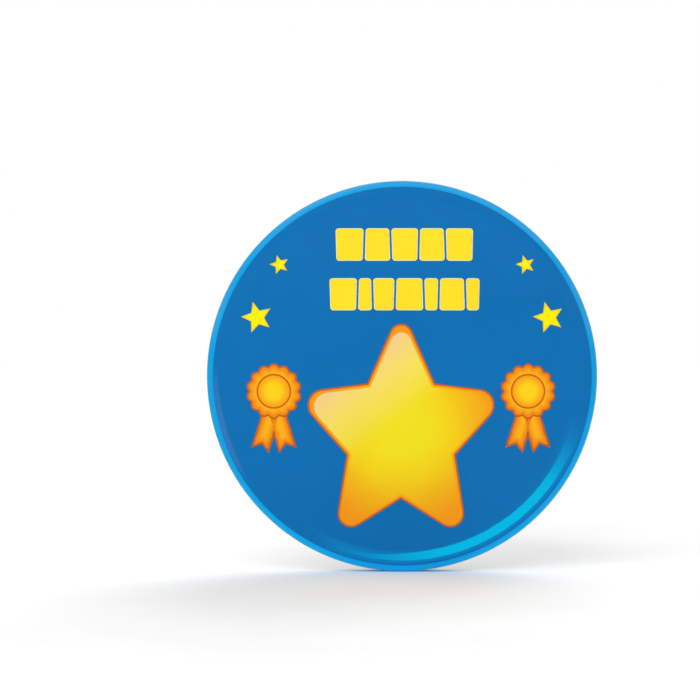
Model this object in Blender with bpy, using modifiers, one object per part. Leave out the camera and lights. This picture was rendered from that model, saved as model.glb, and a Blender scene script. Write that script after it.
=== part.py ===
"""Round pin-back button badge, 58 mm across: five pressed pieces and a spring-wire pin that swings open.

Everything is modelled lying on its back, face towards +Z, and the parent empty then stands the badge upright:
the face looks along -Y and the top of the artwork points along +Z. Sizes are in metres.
"""

from math import cos, pi, radians, sin

import bmesh
import bpy
import numpy as np
from mathutils import Matrix, Vector

MM = 0.001

# Overall
RADIUS = 29.0 * MM
HALF_DEPTH = 3.2 * MM
SEGMENTS = 64

# Domed front, shared by the shell, the paper and the film, which nest inside one another
DOME_R = 193.0 * MM
SHOULDER = (4.2 * MM, 2.3 * MM)  # half-axes of the shoulder's ellipse, across and along the badge's axis
SHOULDER_START = radians(76.5)  # where the ellipse has the dome's own slope
FOLD_R = 0.9 * MM
LIP_INNER_R = 27.0 * MM
FILM_T = 0.12 * MM
PAPER_T = 0.14 * MM
SHEET_T = 0.30 * MM
NEST_GAP = 0.06 * MM

# Back plate stamping
FLOOR_Z = -0.55 * MM
RING_SLOPE = radians(50.0)  # steepest slope of the ring's inner side
FLOOR_FILLET = 0.9 * MM
LAND_R0 = 27.6 * MM
LAND_R1 = 28.2 * MM
RING_R = 28.85 * MM
RING_LIP_Z = -2.0 * MM
PAN_DEPTH = 0.35 * MM

# Pin wire. u runs along the pin towards its point, v across it, h is height above the floor of the plate.
PIN_ANGLE = radians(135.0)
PIN_V = -5.2 * MM
WIRE_R = 0.325 * MM
WIRE_H = 1.35 * MM
TAIL_H = 0.55 * MM
HINGE_U = -10.6 * MM
HINGE_GAP = 0.15 * MM
TIP_U = 20.6 * MM
POINT_LENGTH = 3.6 * MM
LOOP_CENTRE = (-15.75 * MM, -3.35 * MM)
LOOP_R = 2.87 * MM
OPENING_TILT = radians(50.0)  # the pin leaves the catch along this slope, measured from the floor

# Pressed details of the back plate
STRAP_U = -11.6 * MM
STRAP_W = 1.5 * MM
STRAP_V = (-7.05 * MM, -4.05 * MM)
STRAP_H = 2.1 * MM
CATCH_U = 18.0 * MM
CATCH_W = 2.2 * MM
CATCH_H = 2.15 * MM
CATCH_LIP_V = -5.3 * MM


# ---------------------------------------------------------------- scene


def clear_scene():
    for obj in list(bpy.data.objects):
        bpy.data.objects.remove(obj, do_unlink=True)
    for coll in list(bpy.data.collections):
        bpy.data.collections.remove(coll)


def new_collection(name):
    coll = bpy.data.collections.new(name)
    bpy.context.scene.collection.children.link(coll)
    return coll


def material(name, colour, roughness, metallic, alpha=1.0):
    mat = bpy.data.materials.new(name)
    mat.use_nodes = True
    mat.diffuse_color = (*colour, alpha)
    bsdf = mat.node_tree.nodes["Principled BSDF"]
    bsdf.inputs["Base Color"].default_value = (*colour, 1.0)
    bsdf.inputs["Roughness"].default_value = roughness
    bsdf.inputs["Metallic"].default_value = metallic
    bsdf.inputs["Alpha"].default_value = alpha
    return mat


def add_object(name, data, coll, parent, mat=None):
    obj = bpy.data.objects.new(name, data)
    coll.objects.link(obj)
    obj.parent = parent
    if mat is not None:
        obj.data.materials.append(mat)
    return obj


# ---------------------------------------------------------------- turned pieces


def arc(centre, radius, start, end, count):
    """Points of an arc in the radius and height plane; radius may be one number or a pair of half-axes."""
    rx, rz = radius if isinstance(radius, tuple) else (radius, radius)
    return [(centre[0] + rx * cos(a), centre[1] + rz * sin(a)) for a in np.linspace(start, end, count)]


def turned(name, profile, coll, parent, mat):
    """Solid of revolution. The profile starts and ends on the axis, and runs down its outer side at +X."""
    mesh = bpy.data.meshes.new(name)
    points = [(r, 0.0, z) for r, z in profile]
    edges = [(i, i + 1) for i in range(len(points) - 1)]
    mesh.from_pydata(points, edges, [])
    obj = add_object(name, mesh, coll, parent, mat)
    screw = obj.modifiers.new("turn", "SCREW")
    screw.axis = "Z"
    screw.angle = 2.0 * pi
    screw.steps = SEGMENTS
    screw.render_steps = SEGMENTS
    screw.use_merge_vertices = True
    screw.merge_threshold = 0.00001
    screw.use_smooth_shade = True
    return obj


def face_line(depth):
    """Line from the centre of the dome to the end of the folded lip, at a depth below the film's surface."""
    across, along = SHOULDER
    start_r = RADIUS - across + across * cos(SHOULDER_START)
    slope = np.arcsin(start_r / DOME_R)
    dome_centre = (0.0, HALF_DEPTH - DOME_R)
    shoulder = (RADIUS - across, dome_centre[1] + DOME_R * cos(slope) - along * sin(SHOULDER_START))
    fold = (RADIUS - FOLD_R, shoulder[1])
    line = arc(dome_centre, DOME_R - depth, pi / 2, pi / 2 - slope, 7)
    line += arc(shoulder, (across - depth, along - depth), SHOULDER_START, 0.0, 8)[1:]
    line += arc(fold, FOLD_R - depth, 0.0, -pi / 2, 4)[1:]
    line.append((LIP_INNER_R, fold[1] - FOLD_R + depth))
    line[0] = (0.0, line[0][1])
    return line


def nested_dish(name, depth, thickness, coll, parent, mat):
    profile = face_line(depth) + face_line(depth + thickness)[::-1]
    return turned(name, profile, coll, parent, mat)


def offset_line(line, distance):
    """The line moved sideways by a distance, keeping its corners sharp."""
    pts = [Vector(p) for p in line]
    moved = []
    for i, point in enumerate(pts):
        before = (point - pts[i - 1]).normalized() if i > 0 else None
        after = (pts[i + 1] - point).normalized() if i < len(pts) - 1 else None
        before = before or after
        after = after or before
        normal = Vector((-before.y - after.y, before.x + after.x)).normalized()
        reach = distance / max(0.5, normal.dot(Vector((-before.y, before.x))))
        moved.append(tuple(point + normal * reach))
    return moved


def plate_line():
    """Rear face of the back plate, from the axis out to the edge of the rolled ring."""
    rise = 1.0 - cos(RING_SLOPE)
    crown = (FLOOR_Z + HALF_DEPTH) / rise - FLOOR_FILLET
    fillet = (LAND_R0 - (crown + FLOOR_FILLET) * sin(RING_SLOPE), FLOOR_Z - FLOOR_FILLET)
    line = [(0.0, FLOOR_Z)]
    line += arc(fillet, FLOOR_FILLET, pi / 2, pi / 2 - RING_SLOPE, 4)
    line += arc((LAND_R0, crown - HALF_DEPTH), crown, 1.5 * pi - RING_SLOPE, 1.5 * pi, 8)[1:]
    line += arc((LAND_R1, RING_LIP_Z), (RING_R - LAND_R1, RING_LIP_Z + HALF_DEPTH), 1.5 * pi, 2.0 * pi, 5)
    return line


def back_plate_blank(coll, parent, mat):
    rear = plate_line()
    front = offset_line(rear, SHEET_T)
    front[0] = (0.0, FLOOR_Z + SHEET_T)
    front[-1] = (RING_R - SHEET_T, RING_LIP_Z)
    return turned("back_plate", front + rear[::-1], coll, parent, mat)


# ---------------------------------------------------------------- pressed details


def floor_frame():
    """Maps (u, v, -h) on the plate's floor to the badge's own axes."""
    return Matrix.Translation((0.0, 0.0, FLOOR_Z)) @ Matrix.Rotation(PIN_ANGLE, 4, "Z")


def block(name, u, v, h, coll, parent, corner=0.0):
    """A box between two limits in each direction, its upright corners rounded if asked."""
    size = Vector((u[1] - u[0], v[1] - v[0], h[1] - h[0]))
    centre = Vector((u[0] + u[1], v[0] + v[1], -h[0] - h[1])) / 2.0
    bpy.ops.mesh.primitive_cube_add(size=1.0)
    obj = bpy.context.object
    for other in list(obj.users_collection):
        other.objects.unlink(obj)
    coll.objects.link(obj)
    obj.name = name
    obj.data.transform(Matrix.Diagonal((*size, 1.0)))
    obj.parent = parent
    obj.matrix_local = floor_frame() @ Matrix.Translation(centre)
    if corner > 0.0:
        round_upright_edges(obj.data, corner)
    return obj


def round_upright_edges(mesh, radius):
    bm = bmesh.new()
    bm.from_mesh(mesh)
    upright = [e for e in bm.edges if abs((e.verts[0].co - e.verts[1].co).normalized().z) > 0.9]
    bmesh.ops.bevel(bm, geom=upright, offset=radius, segments=4, profile=0.5, affect="EDGES")
    bm.to_mesh(mesh)
    bm.free()


def strip(name, path, width, coll, parent):
    """A bent strip of sheet along a flat path of (across or along, height) points, as thick as the plate."""
    curve = bpy.data.curves.new(name, "CURVE")
    curve.dimensions = "2D"
    curve.extrude = width / 2.0
    spline = curve.splines.new("POLY")
    spline.points.add(len(path) - 1)
    for point, (a, b) in zip(spline.points, path):
        point.co = (a, b, 0.0, 1.0)
    source = bpy.data.objects.new(name, curve)
    coll.objects.link(source)
    bpy.context.view_layer.update()
    mesh = bpy.data.meshes.new_from_object(source)
    bpy.data.objects.remove(source)
    obj = add_object(name, mesh, coll, parent)
    solid = obj.modifiers.new("sheet", "SOLIDIFY")
    solid.thickness = SHEET_T
    solid.offset = 0.0
    solid.use_even_offset = True
    return obj


def across_v(u):
    """Placement of a strip whose path is drawn in (v, h) and whose width runs along u."""
    axes = Matrix(((0, 0, 1, u), (1, 0, 0, 0), (0, -1, 0, 0), (0, 0, 0, 1)))
    return floor_frame() @ axes


def along_u(v):
    """Placement of a strip whose path is drawn in (u, h) and whose width runs along v."""
    axes = Matrix(((1, 0, 0, 0), (0, 0, 1, v), (0, -1, 0, 0), (0, 0, 0, 1)))
    return floor_frame() @ axes


def boolean(target, tool, operation):
    mod = target.modifiers.new(tool.name, "BOOLEAN")
    mod.operation = operation
    mod.solver = "EXACT"
    mod.object = tool
    tool.hide_render = True
    tool.display_type = "WIRE"


def press_pans(plate, coll, parent):
    """Two shallow sunk panels, one under the wire loop and one under the catch."""
    ends = (("loop_pan", (-20.5, -13.1), (-6.9, -3.6)), ("catch_pan", (15.2, 19.6), (-8.0, -3.9)))
    for name, u, v in ends:
        u = [x * MM for x in u]
        v = [x * MM for x in v]
        outer_u = (u[0] - SHEET_T, u[1] + SHEET_T)
        outer_v = (v[0] - SHEET_T, v[1] + SHEET_T)
        depth = -PAN_DEPTH - SHEET_T
        under = block(name + "_outer", outer_u, outer_v, (depth, -0.15 * MM), coll, parent, 0.9 * MM)
        sunk = block(name + "_inner", u, v, (-PAN_DEPTH, 0.2 * MM), coll, parent, 0.6 * MM)
        boolean(plate, under, "UNION")
        boolean(plate, sunk, "DIFFERENCE")


def press_strap(plate, coll, parent):
    """The bridge over the wire, with the slot its metal was lifted from."""
    v0, v1 = STRAP_V
    mid = -0.5 * SHEET_T
    top = STRAP_H
    path = [(v0 - 0.12 * MM, mid), (v0 + 0.25 * MM, 1.3 * MM), (v0 + 0.62 * MM, top)]
    path += [(v1 - 0.62 * MM, top), (v1 - 0.25 * MM, 1.3 * MM), (v1 + 0.12 * MM, mid)]
    slot_u = (STRAP_U - 0.95 * MM, STRAP_U + 0.95 * MM)
    slot = block("strap_slot", slot_u, (v0 + 0.3 * MM, v1 - 0.3 * MM), (-0.8 * MM, 0.3 * MM), coll, parent)
    boolean(plate, slot, "DIFFERENCE")
    strap = strip("strap_form", path, STRAP_W, coll, parent)
    strap.matrix_local = across_v(STRAP_U)
    boolean(plate, strap, "UNION")


def press_tongue(plate, coll, parent):
    """The raised rib inside the wire loop, with a slot on each side."""
    centre = -4.55 * MM
    for name, v in (("slot_a", centre - 0.45 * MM), ("slot_b", centre + 0.45 * MM)):
        v_span = (v - 0.14 * MM, v + 0.14 * MM)
        cut = block("tongue_" + name, (-16.4 * MM, -14.5 * MM), v_span, (-1.2 * MM, 0.3 * MM), coll, parent)
        boolean(plate, cut, "DIFFERENCE")
    low = -PAN_DEPTH - 0.5 * SHEET_T
    high = low + 0.45 * MM
    path = [(-16.7 * MM, low), (-16.1 * MM, high), (-15.0 * MM, high), (-14.3 * MM, low)]
    rib = strip("tongue_form", path, 0.5 * MM, coll, parent)
    rib.matrix_local = along_u(centre)
    boolean(plate, rib, "UNION")


def press_tab(plate, coll, parent):
    """The curled tab that keeps the far end of the wire loop down."""
    low = -PAN_DEPTH - 0.5 * SHEET_T
    path = [(-20.2 * MM, low), (-19.7 * MM, 0.9 * MM), (-19.3 * MM, 1.75 * MM)]
    path += [(-18.8 * MM, 2.05 * MM), (-18.0 * MM, 2.0 * MM)]
    tab = strip("tab_form", path, 1.0 * MM, coll, parent)
    tab.matrix_local = along_u(-4.6 * MM)
    boolean(plate, tab, "UNION")


def press_catch(plate, coll, parent):
    """The hook that holds the point down. It is open on the side nearer the middle of the badge."""
    low = -PAN_DEPTH - 0.5 * SHEET_T
    path = [(-6.75 * MM, low), (-6.45 * MM, 0.9 * MM), (-6.3 * MM, 1.75 * MM)]
    path += [(-5.95 * MM, CATCH_H), (CATCH_LIP_V, CATCH_H)]
    slot_u = (CATCH_U - 0.5 * CATCH_W, CATCH_U + 0.5 * CATCH_W)
    slot = block("catch_slot", slot_u, (-6.2 * MM, -4.5 * MM), (-1.2 * MM, 0.3 * MM), coll, parent, 0.2 * MM)
    boolean(plate, slot, "DIFFERENCE")
    hook = strip("catch_form", path, CATCH_W, coll, parent)
    hook.matrix_local = across_v(CATCH_U)
    boolean(plate, hook, "UNION")


# ---------------------------------------------------------------- wire


def wire(name, path, coll, parent, mat, radii=None):
    """Round wire through (u, v, -h) points given about the object's own origin, as a closed mesh."""
    curve = bpy.data.curves.new(name + "_line", "CURVE")
    curve.dimensions = "3D"
    curve.bevel_depth = WIRE_R
    curve.bevel_resolution = 2
    curve.use_fill_caps = True
    spline = curve.splines.new("POLY")
    spline.points.add(len(path) - 1)
    for i, (point, co) in enumerate(zip(spline.points, path)):
        point.co = (*co, 1.0)
        point.radius = radii[i] if radii else 1.0
    source = bpy.data.objects.new(name + "_line", curve)
    coll.objects.link(source)
    bpy.context.view_layer.update()
    mesh = bpy.data.meshes.new_from_object(source)
    bpy.data.objects.remove(source)
    obj = add_object(name, mesh, coll, parent, mat)
    return obj


def loop_path():
    """From the flex point back under the strap, round the loop, and under itself to the tail."""
    start = HINGE_U - HINGE_GAP
    path = [(start, PIN_V, WIRE_H), (-16.2 * MM, PIN_V, WIRE_H), (-16.9 * MM, -5.15 * MM, WIRE_H)]
    path.append((-17.55 * MM, -5.0 * MM, 1.34 * MM))
    sweep = [radians(a) for a in np.linspace(205.0, 0.0, 15)]
    for i, a in enumerate(sweep):
        height = WIRE_H + (TAIL_H - WIRE_H) * i / (len(sweep) - 1)
        path.append((LOOP_CENTRE[0] + LOOP_R * cos(a), LOOP_CENTRE[1] + LOOP_R * sin(a), height))
    path.append((LOOP_CENTRE[0] + LOOP_R, -6.4 * MM, TAIL_H))
    return path


def pin_loop(coll, parent, mat):
    points = [(u, v, -h) for u, v, h in loop_path()]
    obj = wire("pin_loop", points, coll, parent, mat)
    obj.matrix_local = floor_frame()
    return obj


def pin_arm(coll, hinge, mat):
    """The swinging part of the wire, drawn along the hinge empty's X axis and sharpened at its end."""
    length = TIP_U - HINGE_U
    shoulder = length - POINT_LENGTH
    path = [(HINGE_GAP, 0.0, 0.0), (0.5 * length, 0.0, 0.0), (shoulder, 0.0, 0.0)]
    path += [(shoulder + 0.5 * POINT_LENGTH, 0.0, 0.0), (length, 0.0, 0.0)]
    obj = wire("pin_arm", path, coll, hinge, mat, [1.0, 1.0, 1.0, 0.66, 0.08])
    obj.rotation_euler = (-(pi / 2 - OPENING_TILT), 0.0, 0.0)
    return obj


def hinge_empty(coll, parent):
    """Stands on the flex point. Its X axis lies along the pin. Its Z axis is the axis the pin swings on."""
    empty = add_object("pin_hinge", None, coll, parent)
    empty.empty_display_size = 0.004
    place = floor_frame() @ Matrix.Translation((HINGE_U, PIN_V, -WIRE_H))
    tilt = Matrix.Rotation(-OPENING_TILT, 4, "X")
    empty.matrix_local = place @ tilt
    return empty


# ---------------------------------------------------------------- build


def main():
    clear_scene()
    badge_coll = new_collection("button_badge")
    cutters = new_collection("cutters")
    badge = add_object("badge", None, badge_coll, None)
    badge.rotation_euler = (pi / 2, 0.0, 0.0)
    badge.empty_display_size = 0.01

    tin = material("tinplate", (0.78, 0.78, 0.76), 0.18, 1.0)
    shell_tin = material("shell_tinplate", (0.70, 0.70, 0.68), 0.30, 1.0)
    print_blue = material("printed_paper_blue", (0.005, 0.165, 0.455), 0.45, 0.0)
    film = material("clear_film", (0.95, 0.97, 1.0), 0.04, 0.0, 0.15)
    spring = material("pin_wire_steel", (0.62, 0.61, 0.58), 0.22, 1.0)

    paper_depth = FILM_T + NEST_GAP
    shell_depth = paper_depth + PAPER_T + NEST_GAP
    nested_dish("clear_film", 0.0, FILM_T, badge_coll, badge, film)
    nested_dish("artwork_disc", paper_depth, PAPER_T, badge_coll, badge, print_blue)
    nested_dish("front_shell", shell_depth, SHEET_T, badge_coll, badge, shell_tin)

    plate = back_plate_blank(badge_coll, badge, tin)
    press_pans(plate, cutters, badge)
    press_strap(plate, cutters, badge)
    press_tongue(plate, cutters, badge)
    press_tab(plate, cutters, badge)
    press_catch(plate, cutters, badge)

    pin_loop(badge_coll, badge, spring)
    hinge = hinge_empty(badge_coll, badge)
    pin_arm(badge_coll, hinge, spring.copy())
    bpy.context.view_layer.update()


main()
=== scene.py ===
from math import cos, hypot, pi, radians, sin, sqrt, tan

import bmesh
import bpy
import numpy as np
from mathutils import Matrix, Vector
from mathutils.geometry import delaunay_2d_cdt


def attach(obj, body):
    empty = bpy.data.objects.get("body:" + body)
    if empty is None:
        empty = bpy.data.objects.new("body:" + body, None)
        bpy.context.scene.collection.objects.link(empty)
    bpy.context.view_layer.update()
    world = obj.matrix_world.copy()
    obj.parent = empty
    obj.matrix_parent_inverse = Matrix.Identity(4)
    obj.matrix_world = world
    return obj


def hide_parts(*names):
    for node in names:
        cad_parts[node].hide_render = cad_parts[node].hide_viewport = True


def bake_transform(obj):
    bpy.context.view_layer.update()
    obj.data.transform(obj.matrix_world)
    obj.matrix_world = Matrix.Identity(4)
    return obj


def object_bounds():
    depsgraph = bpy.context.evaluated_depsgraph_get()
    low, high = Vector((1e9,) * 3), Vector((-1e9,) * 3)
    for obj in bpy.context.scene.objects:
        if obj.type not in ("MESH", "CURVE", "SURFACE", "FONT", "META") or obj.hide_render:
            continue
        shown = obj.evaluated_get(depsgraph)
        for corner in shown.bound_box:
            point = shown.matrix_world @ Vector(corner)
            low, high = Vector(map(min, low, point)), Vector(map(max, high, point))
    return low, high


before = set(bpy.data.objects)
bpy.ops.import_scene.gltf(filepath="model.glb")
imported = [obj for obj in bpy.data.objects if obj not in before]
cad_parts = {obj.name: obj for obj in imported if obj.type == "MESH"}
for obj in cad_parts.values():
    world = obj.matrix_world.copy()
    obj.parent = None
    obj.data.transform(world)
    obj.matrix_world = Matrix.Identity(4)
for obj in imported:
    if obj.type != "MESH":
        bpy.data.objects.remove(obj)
CAD_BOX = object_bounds()

# All lengths below are millimetres in the badge's own axes: x to the right and y up as seen from the front,
# z out of the face. TO_WORLD turns them into the frame's metres, where the face looks along -Y.
MM = 0.001
TO_WORLD = Matrix.Rotation(pi / 2, 4, "X") @ Matrix.Scale(MM, 4)

R = CAD_BOX[1].x / MM
FRONT_Z = -CAD_BOX[0].y / MM
REAR_Z = -CAD_BOX[1].y / MM

# Profile of the front, the same as the CAD's
DOME_R = 193.0
SHOULDER = (4.2, 2.3)
SHOULDER_START = radians(76.5)
FOLD_R = 0.9
PAPER_DEPTH = 0.05
PAPER_LIP_R = 26.9  # where the turned-back paper and film end, under the ring
FILM_LIP_R = 27.0

# Share of light that the film mirrors
FILM_MIRROR = 0.055  # head on
FILM_GRAZING = 0.45  # at a grazing angle
CRESCENT_HIGHLIGHT_MIRROR = 0.42  # painted highlight: extra mirroring added in a crescent on the shoulder, so the film shows the blue card there

# Profile of the back plate
SHEET_T = 0.30
FLOOR_Z = -0.55
RING_SLOPE = radians(50.0)
FLOOR_FILLET = 0.9
LAND_R0 = 27.6
LAND_R1 = 28.2
RING_R = 28.96
RIM_Z = -1.95  # height at which the outer roll turns straight forward
RIM_EDGE_Z = -1.28  # the rim runs forward as far as the fold of the film

# Pin: u runs along it towards the point, v across it, h is height above the plate's floor
PIN_ANGLE = radians(135.0)
PIN_V = -5.2
WIRE_R = 0.325
WIRE_H = 1.35
TAIL_H = 0.55
TIP_U = 20.6
LOOP_CENTRE = (-15.75, -3.35)
LOOP_R = 2.87
STRAP_U = -11.6
STRAP_V = (-7.05, -4.05)
CATCH_U = 18.0
PAN_DEPTH = 0.35
PAN_CORNER = 0.6
DIMPLE = (1.2, -18.2)  # a small punch mark on the floor
LOOP_PAN = (-20.5, -13.1, -6.9, -3.6)  # u range, v range
CATCH_PAN = (15.2, 19.6, -8.0, -3.9)
RIB_V = -4.55

AROUND = 256  # points round a full turn
OUTLINE_STEP = 0.25
PRINT_GRID = 0.4
INK_LAYER = 0.006
GRID_CLEARANCE = 0.06  # grid points nearer than this to an outline are left out


# ---------------------------------------------------------------- small helpers


def smoothstep(a, b, x):
    t = np.clip((np.asarray(x, float) - a) / (b - a), 0.0, 1.0)
    return t * t * (3.0 - 2.0 * t)


def pin_frame():
    """Maps (u, v, -h) on the plate's floor to the badge's axes, in millimetres."""
    return Matrix.Translation((0.0, 0.0, FLOOR_Z)) @ Matrix.Rotation(PIN_ANGLE, 4, "Z")


def make_object(name, verts, faces, materials, placed=None):
    """A mesh object from millimetre points. Its vertices end up in world metres and its origin at zero."""
    mesh = bpy.data.meshes.new(name)
    mesh.from_pydata([tuple(v) for v in verts], [], faces)
    mesh.transform(TO_WORLD @ placed if placed is not None else TO_WORLD)
    mesh.validate()
    mesh.update()
    obj = bpy.data.objects.new(name, mesh)
    bpy.context.scene.collection.objects.link(obj)
    for mat in materials:
        mesh.materials.append(mat)
    mesh.polygons.foreach_set("use_smooth", [True] * len(mesh.polygons))
    return obj


def arc(centre, radius, start, end, count):
    """Points along an arc. The radius is one length, or a pair for an ellipse."""
    rx, rz = radius if isinstance(radius, tuple) else (radius, radius)
    return [(centre[0] + rx * cos(a), centre[1] + rz * sin(a)) for a in np.linspace(start, end, count)]


def catmull(points, per_span):
    """Smooth line through the points, in any number of dimensions."""
    p = np.array([points[0], *points, points[-1]], float)
    p[0] = 2 * p[1] - p[2]
    p[-1] = 2 * p[-2] - p[-3]
    out = []
    for i in range(1, len(p) - 2):
        for t in np.linspace(0.0, 1.0, per_span, endpoint=False):
            a = 2 * p[i]
            b = p[i + 1] - p[i - 1]
            c = 2 * p[i - 1] - 5 * p[i] + 4 * p[i + 1] - p[i + 2]
            d = -p[i - 1] + 3 * p[i] - 3 * p[i + 1] + p[i + 2]
            out.append(0.5 * (a + b * t + c * t * t + d * t * t * t))
    out.append(p[-2])
    return np.array(out)


def resample(line, step):
    """The same line with evenly spaced points."""
    line = np.asarray(line, float)
    lengths = np.r_[0.0, np.cumsum(np.linalg.norm(np.diff(line, axis=0), axis=1))]
    count = max(2, int(round(lengths[-1] / step)) + 1)
    at = np.linspace(0.0, lengths[-1], count)
    return np.stack([np.interp(at, lengths, line[:, k]) for k in range(line.shape[1])], axis=1)


# ---------------------------------------------------------------- turned sheets


def revolve(name, profile, materials):
    """A surface turned about the z axis. The profile's (radius, height) points start at the axis."""
    verts = []
    rings = []
    for r, z in profile:
        if r < 1e-6:
            rings.append([len(verts)])
            verts.append((0.0, 0.0, z))
            continue
        start = len(verts)
        for k in range(AROUND):
            a = 2 * pi * k / AROUND
            verts.append((r * cos(a), r * sin(a), z))
        rings.append(list(range(start, start + AROUND)))
    faces = []
    for inner, outer in zip(rings, rings[1:]):
        for k in range(AROUND):
            n = (k + 1) % AROUND
            if len(inner) == 1:
                faces.append((inner[0], outer[k], outer[n]))
            else:
                faces.append((inner[k], outer[k], outer[n], inner[n]))
    return make_object(name, verts, faces, materials)


def dome_z(r, depth):
    """Height of the front at a radius, at a depth below the film's surface."""
    start_r = R - SHOULDER[0] + SHOULDER[0] * cos(SHOULDER_START)
    slope = np.arcsin(start_r / DOME_R)
    if r <= start_r:
        return FRONT_Z - DOME_R + sqrt((DOME_R - depth) ** 2 - r * r)
    centre_z = FRONT_Z - DOME_R + DOME_R * cos(slope) - SHOULDER[1] * sin(SHOULDER_START)
    share = min(1.0, (r - R + SHOULDER[0]) / (SHOULDER[0] - depth))
    return centre_z + (SHOULDER[1] - depth) * sqrt(1.0 - share * share)


def face_line(depth, lip_r):
    """Profile of the front at a depth below the film: dome, shoulder, fold and the lip turned inwards."""
    start_r = R - SHOULDER[0] + SHOULDER[0] * cos(SHOULDER_START)
    slope = np.arcsin(start_r / DOME_R)
    centre_z = FRONT_Z - DOME_R + DOME_R * cos(slope) - SHOULDER[1] * sin(SHOULDER_START)
    shoulder = (R - SHOULDER[0], centre_z)
    fold = (R - FOLD_R, centre_z)
    line = [(start_r * t, dome_z(start_r * t, depth)) for t in np.linspace(0.0, 1.0, 28)]
    line += arc(shoulder, (SHOULDER[0] - depth, SHOULDER[1] - depth), SHOULDER_START, 0.0, 30)[1:]
    line += arc(fold, FOLD_R - depth, 0.0, -pi / 2, 12)[1:]
    line.append((lip_r, centre_z - FOLD_R + depth))
    return line


# ---------------------------------------------------------------- sweeps


def circle_section(radius, count):
    return [(radius * cos(a), radius * sin(a)) for a in np.linspace(0.0, 2 * pi, count, endpoint=False)]


def strip_section(width, thickness, corner):
    """Rounded rectangle, width along the first axis."""
    out = []
    for sx, sy, start in ((1, 1, 0.0), (-1, 1, pi / 2), (-1, -1, pi), (1, -1, 1.5 * pi)):
        cx = sx * (width / 2 - corner)
        cy = sy * (thickness / 2 - corner)
        for a in np.linspace(start, start + pi / 2, 4):
            out.append((cx + corner * cos(a), cy + corner * sin(a)))
    return out


def sweep(name, line, section, materials, side=None, scale=None, placed=None):
    """A closed tube along a line. The section's first axis lies along side, or is carried along the line."""
    line = np.asarray(line, float)
    tangents = np.gradient(line, axis=0)
    tangents /= np.linalg.norm(tangents, axis=1)[:, None]
    first = np.array(side, float) if side is not None else np.cross(tangents[0], (0.0, 0.0, 1.0))
    first /= np.linalg.norm(first)
    verts = []
    for i, (point, tangent) in enumerate(zip(line, tangents)):
        first = first - tangent * (first @ tangent)
        first /= np.linalg.norm(first)
        second = np.cross(tangent, first)
        k = 1.0 if scale is None else scale[i]
        verts += [point + k * (a * first + b * second) for a, b in section]
    m = len(section)
    faces = []
    for i in range(len(line) - 1):
        for j in range(m):
            n = (j + 1) % m
            faces.append((i * m + j, i * m + n, (i + 1) * m + n, (i + 1) * m + j))
    faces.append(tuple(range(m))[::-1])
    faces.append(tuple((len(line) - 1) * m + j for j in range(m)))
    return make_object(name, verts, faces, materials, placed=placed)


# ---------------------------------------------------------------- flat shapes laid on the dome


def rounded(points, radii, count=8):
    """The polygon with each corner replaced by an arc. A radius of 0 keeps the corner."""
    out = []
    n = len(points)
    for i, point in enumerate(points):
        p = Vector(point)
        radius = radii[i] if isinstance(radii, (list, tuple)) else radii
        if radius <= 0.0:
            out.append(tuple(p))
            continue
        a = (Vector(points[i - 1]) - p).normalized()
        b = (Vector(points[(i + 1) % n]) - p).normalized()
        half = a.angle(b) / 2
        reach = radius / tan(half)
        centre = p + (a + b).normalized() * (radius / sin(half))
        start = p + a * reach - centre
        end = p + b * reach - centre
        turn = start.angle_signed(end)
        for t in np.linspace(0.0, 1.0, count):
            v = start.copy()
            v.rotate(Matrix.Rotation(-turn * t, 2))
            out.append(tuple(centre + v))
    return out


def star(centre, outer, inner, turn=0.0, tall=1.0):
    """A five-pointed star, listed anticlockwise from its top point."""
    out = []
    for k in range(10):
        r = outer if k % 2 == 0 else inner
        a = pi / 2 + turn + k * pi / 5
        out.append((centre[0] + r * cos(a), centre[1] + tall * r * sin(a)))
    return out


def dense(outline):
    """The outline with points added along its sides, so that it can follow the curve of the badge."""
    out = []
    for i, point in enumerate(outline):
        start = np.array(outline[i - 1], float)
        end = np.array(point, float)
        count = max(1, int(np.linalg.norm(end - start) / OUTLINE_STEP))
        out += [tuple(start + (end - start) * k / count) for k in range(1, count + 1)]
    return out


def inset(points, distance):
    """The polygon, listed anticlockwise, with every side moved inwards."""
    out = []
    n = len(points)
    for i, point in enumerate(points):
        p = Vector(point)
        before = (p - Vector(points[i - 1])).normalized()
        after = (Vector(points[(i + 1) % n]) - p).normalized()
        na = Vector((-before.y, before.x))
        nb = Vector((-after.y, after.x))
        mid = (na + nb).normalized()
        out.append(tuple(p + mid * (distance / max(0.25, mid.dot(na)))))
    return out


def edge_distance(points, outline):
    """Distance of each point from the outline."""
    a = np.array(outline, float)
    b = np.roll(a, -1, axis=0)
    p = np.asarray(points, float)[:, None, :]
    ab = b - a
    t = np.clip(((p - a) * ab).sum(2) / np.maximum((ab * ab).sum(1), 1e-12), 0.0, 1.0)
    gap = p - (a + t[:, :, None] * ab)
    return np.sqrt((gap**2).sum(2)).min(1)


def inside(points, outline):
    """True for each point inside the outline."""
    p = np.asarray(points, float)
    a = np.array(outline, float)
    b = np.roll(a, -1, axis=0)
    hit = np.zeros(len(p), bool)
    for (ax, ay), (bx, by) in zip(a, b):
        if ay == by:
            continue
        crosses = (ay > p[:, 1]) != (by > p[:, 1])
        x = ax + (p[:, 1] - ay) * (bx - ax) / (by - ay)
        hit ^= crosses & (p[:, 0] < x)
    return hit


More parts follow.
